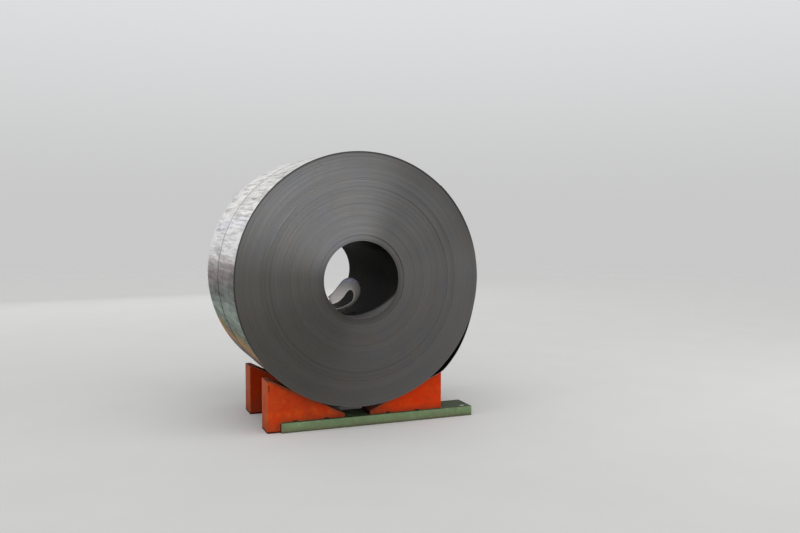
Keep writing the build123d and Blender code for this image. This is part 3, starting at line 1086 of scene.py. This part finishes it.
def floor_material(look):
    """Pale floor that fades into the backdrop far out, and keeps the object's shadow."""
    made, tree, shader = material("floor", look.floor_colour)
    point = place(tree)[0]
    mottle = span(noise(point, 1.4, 5.0, 0.6), 0.3, 0.7, 0.985, 1.015)
    reach = vectors("LENGTH", point, output="Value")
    fill(shader, {"Base Color": tinted(look.floor_colour, mottle), "Roughness": 0.9, "Specular IOR Level": 0.1,
                  "Alpha": span(reach, 8.0, look.floor_radius * 0.9, 1.0, 0.0, smooth=True)})
    return made


def floor_mesh(reach):
    """A disc of rings that lie closer together near the middle."""
    rings, around = 40, 96
    points = [(0.0, 0.0, 0.0)]
    turns = [FULL_TURN * k / around for k in range(around)]
    for i in range(1, rings + 1):
        r = reach * (i / rings) ** 1.6
        points += [(r * math.cos(turn), r * math.sin(turn), 0.0) for turn in turns]
    faces = [(0, 1 + k, 1 + (k + 1) % around) for k in range(around)]
    for a in range(1, 1 + (rings - 1) * around, around):
        b = a + around
        faces += [(a + k, b + k, b + (k + 1) % around, a + (k + 1) % around) for k in range(around)]
    return mesh_from("floor", points, faces)


def backdrop(look):
    """Even light from all round, and a pale sweep where the camera and bare metal see it."""
    world = bpy.data.worlds.new("studio")
    world.use_nodes = True
    tree = world.node_tree
    light = tree.nodes["Background"]
    fill(light, {"Color": (1.0, 1.0, 1.0), "Strength": look.ambient})
    upward = parts(node("TexCoord", {}, "Generated", tree))[2]
    sweep = blend(span(upward, -0.02, 0.3, smooth=True), look.backdrop_low, look.backdrop)
    sweep = blend(span(upward, 0.45, 0.9, smooth=True), sweep, look.overhead)
    seen = node("Background", {"Color": sweep, "Strength": 1.0})
    rays = put("LightPath", {}, tree).outputs
    camera, glossy, clear = (Value(rays[f"Is {kind} Ray"]) for kind in ("Camera", "Glossy", "Transmission"))
    visible = sums("MAXIMUM", sums("MAXIMUM", camera, glossy), clear)
    fill(tree.nodes["World Output"], {"Surface": node("MixShader", {0: visible, 1: Value(light.outputs[0]), 2: seen})})
    return world


def lamp(name, place_at, aim, power, size=None, spread=None):
    """A large rectangular lamp, or with a spread a soft sun."""
    data = bpy.data.lights.new(name, "SUN" if spread else "AREA")
    if spread:
        data.angle = spread
    else:
        data.shape = "RECTANGLE"
        data.size, data.size_y = size
    data.energy = power
    made = link(name, data)
    made.location = place_at
    made.rotation_euler = (Vector(aim) - Vector(place_at)).to_track_quat("-Z", "Y").to_euler()


class SetStage(bpy.types.Operator):
    """Set the floor, the lights, the backdrop and the camera"""
    bl_idname = "steel_coil.set_stage"
    bl_label = "Set Stage"

    def execute(self, context):
        look = context.scene.stage_look
        scene = context.scene
        floor = link("floor", floor_mesh(look.floor_radius))
        floor.data.materials.append(floor_material(look))
        scene.world = backdrop(look)
        lamp("key", (-2.5, -6.5, 6.8), (0.0, 0.0, 0.9), look.key_power, spread=look.key_spread)
        lamp("fill", (6.0, -3.0, 4.0), (0.0, 0.0, 1.0), look.fill_power, (4.0, 3.0))
        lamp("back", (-1.0, 10.0, 3.2), (0.0, 0.0, 1.8), look.back_power, (12.0, 4.4))
        eye = bpy.data.cameras.new("camera")
        eye.lens = look.camera_lens
        eye.sensor_width = 36.0
        eye.clip_end = 200.0
        camera = link("camera", eye)
        camera.location = look.camera_place
        camera.rotation_euler = look.camera_turn
        scene.camera = camera
        scene.view_settings.view_transform = "Standard"
        return {"FINISHED"}


class COIL_PT_panel(bpy.types.Panel):
    """Lists the steps that dress the coil"""
    bl_label = "Steel Coil"
    bl_space_type = "VIEW_3D"
    bl_region_type = "UI"
    bl_category = "Steel Coil"

    def draw(self, context):
        for step in STEPS:
            self.layout.operator(step.bl_idname)
        for name in LOOKS:
            box = self.layout.box()
            look = getattr(context.scene, name)
            for key in LOOKS[name].__annotations__:
                box.prop(look, key)


STEPS = (BuildCoil, DressStrap, DressChocks, DressBearers, SetStage)
LOOKS = {"coil_look": CoilLook, "strap_look": StrapLook, "chock_look": ChockLook, "bearer_look": BearerLook,
         "stage_look": StageLook}


def register():
    for kind in (*LOOKS.values(), *STEPS, COIL_PT_panel):
        bpy.utils.register_class(kind)
    for name, kind in LOOKS.items():
        setattr(bpy.types.Scene, name, bpy.props.PointerProperty(type=kind))


def unregister():
    for name in LOOKS:
        delattr(bpy.types.Scene, name)
    for kind in reversed((*LOOKS.values(), *STEPS, COIL_PT_panel)):
        bpy.utils.unregister_class(kind)


def main():
    register()
    shared_effects()
    bpy.ops.steel_coil.build_coil()
    bpy.ops.steel_coil.dress_strap()
    bpy.ops.steel_coil.dress_chocks()
    bpy.ops.steel_coil.dress_bearers()
    bpy.ops.steel_coil.set_stage()


if __name__ == "__main__":
    main()
